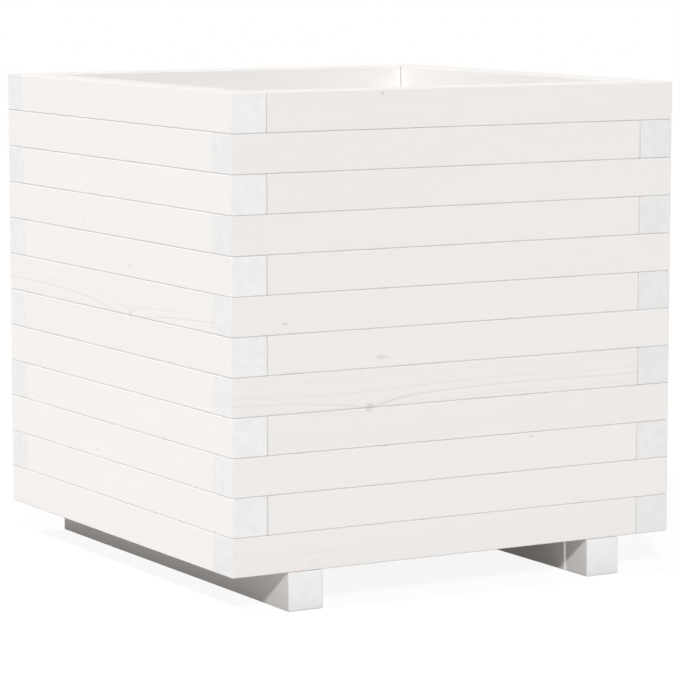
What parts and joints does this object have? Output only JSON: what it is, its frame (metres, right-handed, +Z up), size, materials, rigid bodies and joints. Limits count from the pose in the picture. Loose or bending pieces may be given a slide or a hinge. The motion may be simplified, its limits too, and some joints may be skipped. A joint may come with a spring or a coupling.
{
  "type": "planter",
  "caption": "Square timber planter of stacked bars that pass and butt by turns at the corners, with a slatted floor, on two runners.",
  "frame": {"origin": "on the ground under the middle of the planter", "axes": "+Z up; the front faces -Y; the runners lie along Y"},
  "size_m": [0.5, 0.5, 0.494],
  "materials": {
    "white_wood": "thin matt white stain on planed softwood",
    "zinc_screw": "zinc plated"
  },
  "bodies": {
    "root": {"front_bar_01": "white_wood", "right_bar_01": "white_wood", "back_bar_01": "white_wood", "left_bar_01": "white_wood", "front_bar_02": "white_wood", "right_bar_02": "white_wood", "back_bar_02": "white_wood", "left_bar_02": "white_wood", "front_bar_03": "white_wood", "right_bar_03": "white_wood", "back_bar_03": "white_wood", "left_bar_03": "white_wood", "front_bar_04": "white_wood", "right_bar_04": "white_wood", "back_bar_04": "white_wood", "left_bar_04": "white_wood", "front_bar_05": "white_wood", "right_bar_05": "white_wood", "back_bar_05": "white_wood", "left_bar_05": "white_wood", "front_bar_06": "white_wood", "right_bar_06": "white_wood", "back_bar_06": "white_wood", "left_bar_06": "white_wood", "front_bar_07": "white_wood", "right_bar_07": "white_wood", "back_bar_07": "white_wood", "left_bar_07": "white_wood", "front_bar_08": "white_wood", "right_bar_08": "white_wood", "back_bar_08": "white_wood", "left_bar_08": "white_wood", "front_bar_09": "white_wood", "right_bar_09": "white_wood", "back_bar_09": "white_wood", "left_bar_09": "white_wood", "front_bar_10": "white_wood", "right_bar_10": "white_wood", "back_bar_10": "white_wood", "left_bar_10": "white_wood", "front_bar_11": "white_wood", "right_bar_11": "white_wood", "back_bar_11": "white_wood", "left_bar_11": "white_wood", "front_bar_12": "white_wood", "right_bar_12": "white_wood", "back_bar_12": "white_wood", "left_bar_12": "white_wood", "left_runner": "white_wood", "right_runner": "white_wood", "floor_board_01": "white_wood", "floor_board_02": "white_wood", "floor_board_03": "white_wood", "course_screws": "zinc_screw", "floor_screws": "zinc_screw", "runner_screws": "zinc_screw"}
  },
  "joints": []
}
